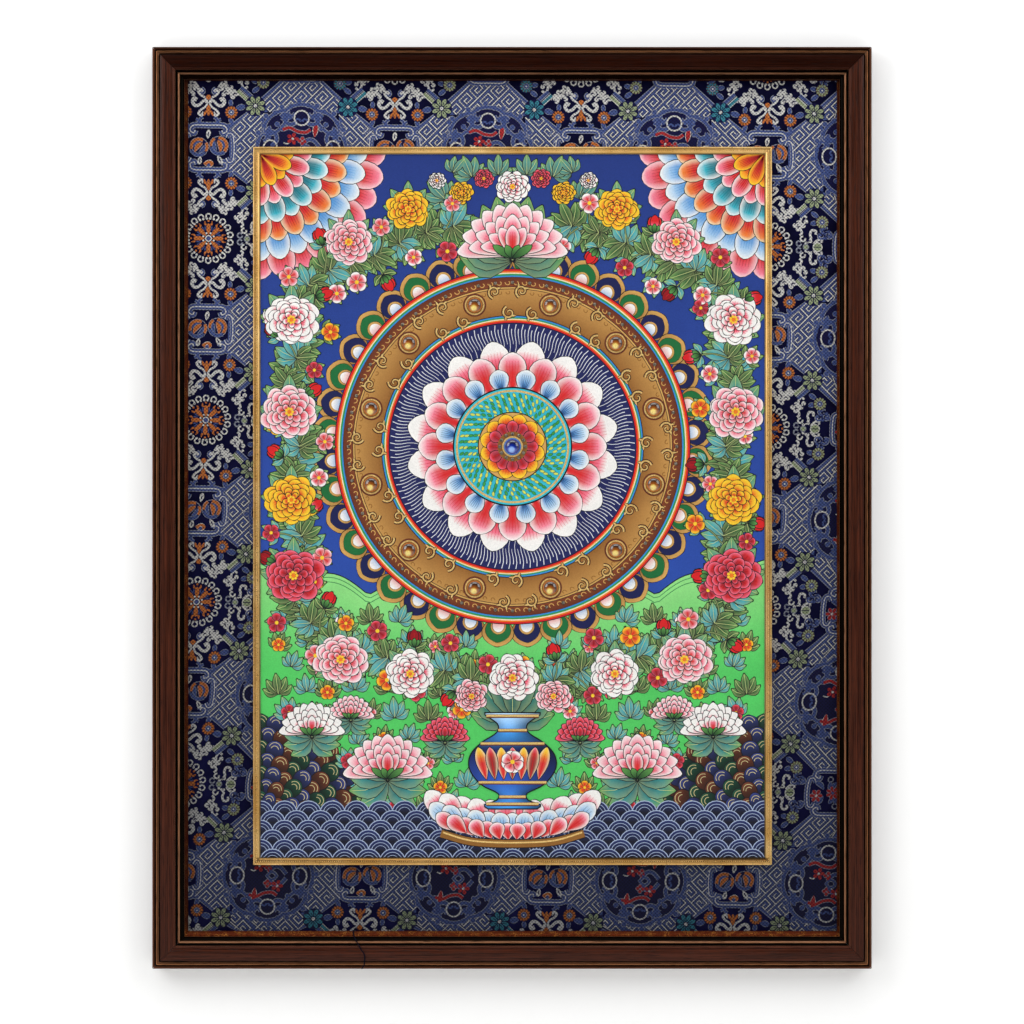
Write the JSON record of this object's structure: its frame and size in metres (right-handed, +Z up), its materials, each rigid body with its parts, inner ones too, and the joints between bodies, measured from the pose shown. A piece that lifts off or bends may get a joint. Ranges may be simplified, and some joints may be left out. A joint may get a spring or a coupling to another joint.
{
  "type": "framed thangka painting with its wood frame",
  "caption": "Upright painted cloth panel in a gilt fillet on brocade, with glass domes, in a moulded mitred wood frame for wall hanging.",
  "frame": {"origin": "middle of the top rail's back face, on the plane of the wall", "axes": "+Z up along the frame's height, +X to the right as seen from the front, -Y out of the wall towards the viewer"},
  "size_m": [0.7, 0.0296, 0.897],
  "materials": {
    "frame_wood": "dark stained wood under satin varnish, grooves near black, beads rubbed to copper",
    "board": "plain thin wood board",
    "brocade": "navy silk brocade with silver, blue, sage and rust threads",
    "edging": "rust brocade with gold thread",
    "gilt": "satin gilt",
    "painting": "matt mineral paint on primed cotton, raised gold lines",
    "amber": "polished amber glass over foil",
    "blue_glass": "polished dark blue glass over foil",
    "thread": "soft twisted navy thread"
  },
  "bodies": {
    "root": {"rail_top": "frame_wood", "rail_bottom": "frame_wood", "rail_left": "frame_wood", "rail_right": "frame_wood", "back_board": "board", "brocade_panel": "brocade", "edging_top": "edging", "edging_bottom": "edging", "edging_left": "edging", "edging_right": "edging", "fillet_top": "gilt", "fillet_bottom": "gilt", "fillet_left": "gilt", "fillet_right": "gilt", "painted_canvas": "painting", "amber_cabochon_01": "amber", "amber_cabochon_02": "amber", "amber_cabochon_03": "amber", "amber_cabochon_04": "amber", "amber_cabochon_05": "amber", "amber_cabochon_06": "amber", "amber_cabochon_07": "amber", "amber_cabochon_08": "amber", "amber_cabochon_09": "amber", "amber_cabochon_10": "amber", "amber_cabochon_11": "amber", "amber_cabochon_12": "amber", "blue_cabochon": "blue_glass", "loose_thread": "thread"}
  },
  "joints": []
}
